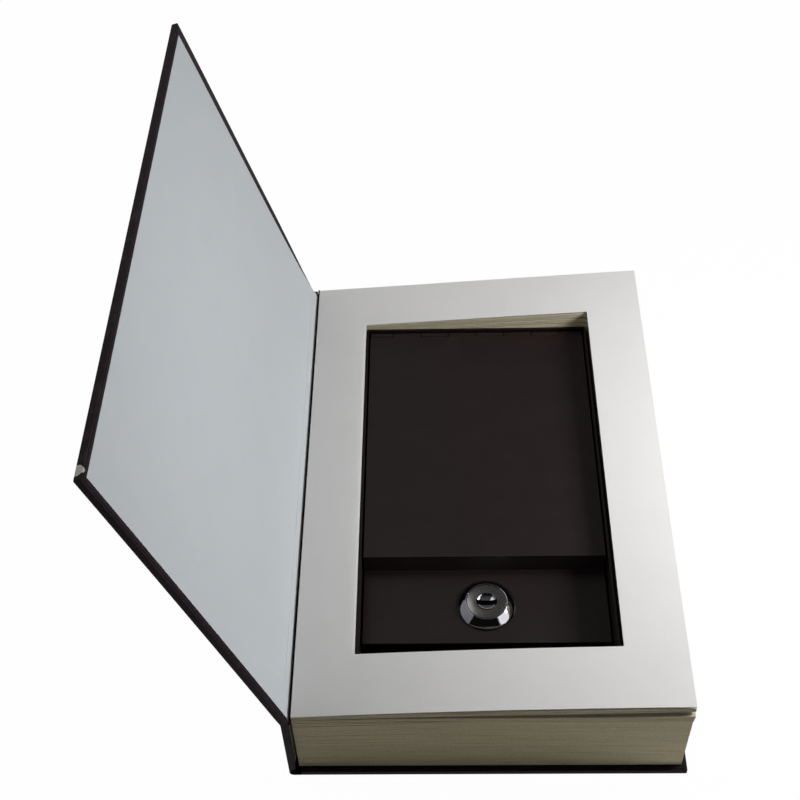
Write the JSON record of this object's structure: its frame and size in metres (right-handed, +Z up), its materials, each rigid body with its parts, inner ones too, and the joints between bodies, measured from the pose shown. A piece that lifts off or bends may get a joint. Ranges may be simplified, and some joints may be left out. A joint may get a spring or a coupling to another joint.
{
  "type": "book diversion safe",
  "caption": "Hardcover book with a cut-out page block that hides a steel box with a hinged, stepped lid and a cam lock.",
  "frame": {"origin": "on the outside of the back cover, under the middle of the page block", "axes": "+Z up from the back cover, +X from the spine to the fore-edge, +Y from the tail to the head"},
  "size_m": [0.2086, 0.24, 0.1973],
  "materials": {
    "cover_cloth": "fine book cloth, matte",
    "greyboard": "raw board",
    "endpaper": "smooth, matte",
    "pages": "cut page edges",
    "lining": "kraft and mull lining",
    "glue": "dried adhesive",
    "black_paint": "fine textured powder coat",
    "chrome": "polished",
    "lock_face": "satin",
    "zinc": "zinc plated",
    "brass": "stamped"
  },
  "bodies": {
    "book": {"back_cover_cloth": "cover_cloth", "back_board": "greyboard", "back_pastedown": "endpaper", "rear_joint_cloth": "cover_cloth", "page_block": "pages", "block_spine_lining": "lining", "box_glue": "glue", "box_tray": "black_paint", "hinge_pin": "zinc", "cam_catch": "zinc", "catch_rivet_1": "zinc", "catch_rivet_2": "zinc"},
    "spine": {"spine_cloth": "cover_cloth", "spine_board": "greyboard", "spine_lining": "lining", "front_joint_cloth": "cover_cloth"},
    "front_cover": {"front_cover_cloth": "cover_cloth", "front_board": "greyboard", "front_pastedown": "endpaper"},
    "leaves": {"loose_leaves_1": "pages", "loose_leaves_2": "pages", "loose_leaves_3": "pages"},
    "endleaf": {"flyleaf": "endpaper"},
    "box_lid": {"lid": "black_paint", "lock_body": "chrome", "lock_washer": "zinc", "lock_nut": "zinc"},
    "lock_core": {"lock_plug": "lock_face", "lock_cam": "zinc", "cam_washer": "zinc", "cam_screw": "zinc"},
    "wafer_1": {"lock_wafer_1": "brass"},
    "wafer_2": {"lock_wafer_2": "brass"},
    "wafer_3": {"lock_wafer_3": "brass"}
  },
  "joints": [
    {"name": "spine_swing", "type": "hinge", "parent": "book", "child": "spine", "pos_m": [-0.08, 0, 0.00155], "axis": [0, 1, 0], "range_deg": [-75, 0], "deforming": ["rear_joint_cloth"]},
    {"name": "cover_swing", "type": "hinge", "parent": "spine", "child": "front_cover", "pos_m": [-0.08, 0, 0.0448], "axis": [0, -1, 0], "range_deg": [-102.6, 87.5], "deforming": ["front_joint_cloth"]},
    {"name": "leaves_turn", "type": "hinge", "parent": "book", "child": "leaves", "pos_m": [-0.0775, 0, 0.0435], "axis": [0, -1, 0], "range_deg": [0, 83]},
    {"name": "endleaf_turn", "type": "hinge", "parent": "leaves", "child": "endleaf", "pos_m": [-0.0775, 0, 0.04395], "axis": [0, -1, 0], "range_deg": [0, 75]},
    {"name": "lid_swing", "type": "hinge", "parent": "book", "child": "box_lid", "pos_m": [-0.0005, 0.0885, 0.0405], "axis": [-1, 0, 0], "range_deg": [0, 93]},
    {"name": "lock_turn", "type": "hinge", "parent": "box_lid", "child": "lock_core", "pos_m": [0, -0.0606, 0.0331], "axis": [0, 0, -1], "range_deg": [0, 90]},
    {"name": "wafer_1_slide", "type": "slide", "parent": "lock_core", "child": "wafer_1", "axis": [1, 0, 0], "range_m": [0, 0.0008]},
    {"name": "wafer_2_slide", "type": "slide", "parent": "lock_core", "child": "wafer_2", "axis": [1, 0, 0], "range_m": [0, 0.0008]},
    {"name": "wafer_3_slide", "type": "slide", "parent": "lock_core", "child": "wafer_3", "axis": [1, 0, 0], "range_m": [0, 0.0008]}
  ]
}
